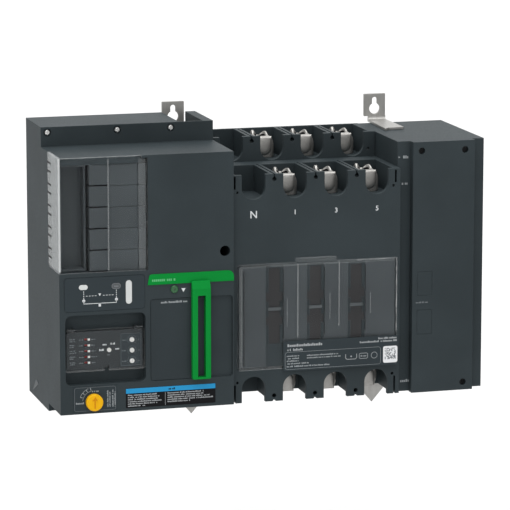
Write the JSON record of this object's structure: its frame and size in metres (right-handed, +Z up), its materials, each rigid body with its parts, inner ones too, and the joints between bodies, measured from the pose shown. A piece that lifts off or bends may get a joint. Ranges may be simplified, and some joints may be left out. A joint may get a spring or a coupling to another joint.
{
  "type": "automatic transfer switch",
  "caption": "Wall-mounted automatic transfer switch: a control block with a sliding mode door, a changeover switch body with cable lugs, and a power supply box on brackets.",
  "frame": {"origin": "middle of the round entries of the two upper keyholes, in the plane of the wall", "axes": "+X to the right as seen from the front, +Y into the wall, +Z up"},
  "size_m": [0.3625, 0.135, 0.2696],
  "materials": {
    "housing_plastic": "fine matt moulded",
    "door_plastic": "satin moulded",
    "controller_plastic": "matt moulded",
    "terminal_plastic": "matt moulded",
    "clear_plastic": "clear, slightly smoked",
    "black_plastic": "matt",
    "green_plastic": "satin",
    "yellow_plastic": "satin",
    "white_plastic": "satin",
    "red_plastic": "satin",
    "lamp_lens": "frosted",
    "green_lens": "frosted",
    "label_stock": "laminated",
    "plated_steel": "zinc plated",
    "screw_steel": "plated",
    "tinned_lug": "tin plated, satin",
    "copper": "bare copper",
    "winding": "enamelled copper wire",
    "board": "solder mask",
    "chute_steel": "plated steel plates",
    "core_iron": "laminated",
    "shaft_plastic": "moulded"
  },
  "bodies": {
    "housing": {"arc_chutes": "chute_steel", "coil_frame": "plated_steel", "coils": "winding", "control_board": "board", "controller": "controller_plastic", "dial_panel": "label_stock", "dip_slot_floors": "red_plastic", "green_strip": "green_plastic", "knob_plate": "label_stock", "load_bars": "copper", "load_lugs": "tinned_lug", "lower_brackets": "plated_steel", "lug_screws": "screw_steel", "mechanism_base": "housing_plastic", "mechanism_cover": "housing_plastic", "mimic_panel": "label_stock", "mode_lamp": "green_lens", "nameplate": "label_stock", "notice_label": "label_stock", "source1_bars": "copper", "source1_lamp": "lamp_lens", "source2_bars": "copper", "source2_lamp": "lamp_lens", "source_lugs": "tinned_lug", "status_window": "lamp_lens", "step_screws": "screw_steel", "supply_base": "housing_plastic", "supply_board": "board", "supply_cover": "housing_plastic", "supply_screws": "screw_steel", "switch_front": "housing_plastic", "switch_rear": "housing_plastic", "terminal_modules": "terminal_plastic", "transformer": "core_iron", "upper_left_bracket": "plated_steel", "upper_right_bracket": "plated_steel", "window_bars": "label_stock", "window_cover": "clear_plastic", "window_plates": "black_plastic", "wire_duct": "black_plastic"},
    "contact_shaft": {"cross_shaft": "shaft_plastic", "moving_contacts": "copper"},
    "hand_drive": {"hand_spindle": "screw_steel"},
    "plunger_yoke": {"drive_yoke": "screw_steel"},
    "mode_slider": {"mode_door": "door_plastic", "mode_handle": "green_plastic"},
    "run_test_knob": {"test_knob": "yellow_plastic"},
    "source_selector": {"selector": "white_plastic"},
    "delay_dial_a": {"delay_dial_1": "white_plastic"},
    "delay_dial_b": {"delay_dial_2": "white_plastic"},
    "delay_dial_c": {"delay_dial_3": "white_plastic"},
    "setting_lid": {"controller_lid": "clear_plastic"},
    "wiring_cover": {"terminal_cover": "clear_plastic"},
    "dip_1": {"dip_slider_1": "white_plastic"},
    "dip_2": {"dip_slider_2": "white_plastic"},
    "dip_3": {"dip_slider_3": "white_plastic"},
    "dip_4": {"dip_slider_4": "white_plastic"},
    "dip_5": {"dip_slider_5": "white_plastic"}
  },
  "joints": [
    {"name": "contact_turn", "type": "hinge", "parent": "housing", "child": "contact_shaft", "pos_m": [-0.0008, -0.068, -0.1457], "axis": [1, 0, 0], "range_deg": [0, 50]},
    {"name": "spindle_turn", "type": "hinge", "parent": "housing", "child": "hand_drive", "pos_m": [-0.1318, -0.112, -0.1457], "axis": [0, 1, 0], "range_deg": [0, 50]},
    {"name": "yoke_slide", "type": "slide", "parent": "housing", "child": "plunger_yoke", "axis": [0, 0, -1], "range_m": [0, 0.017]},
    {"name": "mode_slide", "type": "slide", "parent": "housing", "child": "mode_slider", "axis": [1, 0, 0], "range_m": [0, 0.0173]},
    {"name": "test_knob_turn", "type": "hinge", "parent": "housing", "child": "run_test_knob", "pos_m": [-0.1885, -0.1296, -0.2103], "axis": [0, -1, 0], "range_deg": [0, 90]},
    {"name": "selector_turn", "type": "hinge", "parent": "housing", "child": "source_selector", "pos_m": [-0.1746, -0.1256, -0.1692], "axis": [0, -1, 0], "range_deg": [-135, 135]},
    {"name": "delay_a_turn", "type": "hinge", "parent": "housing", "child": "delay_dial_a", "pos_m": [-0.1557, -0.1256, -0.1618], "axis": [0, -1, 0], "range_deg": [-135, 135]},
    {"name": "delay_b_turn", "type": "hinge", "parent": "housing", "child": "delay_dial_b", "pos_m": [-0.1557, -0.1256, -0.1705], "axis": [0, -1, 0], "range_deg": [-135, 135]},
    {"name": "delay_c_turn", "type": "hinge", "parent": "housing", "child": "delay_dial_c", "pos_m": [-0.1557, -0.1256, -0.1792], "axis": [0, -1, 0], "range_deg": [-135, 135]},
    {"name": "dip_1_slide", "type": "slide", "parent": "housing", "child": "dip_1", "axis": [-1, 0, 0], "range_m": [0, 0.0025]},
    {"name": "dip_2_slide", "type": "slide", "parent": "housing", "child": "dip_2", "axis": [-1, 0, 0], "range_m": [0, 0.0025]},
    {"name": "dip_3_slide", "type": "slide", "parent": "housing", "child": "dip_3", "axis": [-1, 0, 0], "range_m": [0, 0.0025]},
    {"name": "dip_4_slide", "type": "slide", "parent": "housing", "child": "dip_4", "axis": [-1, 0, 0], "range_m": [0, 0.0025]},
    {"name": "dip_5_slide", "type": "slide", "parent": "housing", "child": "dip_5", "axis": [-1, 0, 0], "range_m": [0, 0.0025]},
    {"name": "lid_turn", "type": "hinge", "parent": "housing", "child": "setting_lid", "pos_m": [-0.1782, -0.126, -0.1516], "axis": [-1, 0, 0], "range_deg": [0, 100]},
    {"name": "cover_turn", "type": "hinge", "parent": "housing", "child": "wiring_cover", "pos_m": [-0.144, -0.1286, -0.0582], "axis": [0, 0, 1], "range_deg": [0, 105]}
  ],
  "couplings": [
    {"joint": "spindle_turn", "follows": "contact_turn", "ratio": 1},
    {"joint": "yoke_slide", "follows": "contact_turn", "m_per_rad": 0.019371}
  ]
}
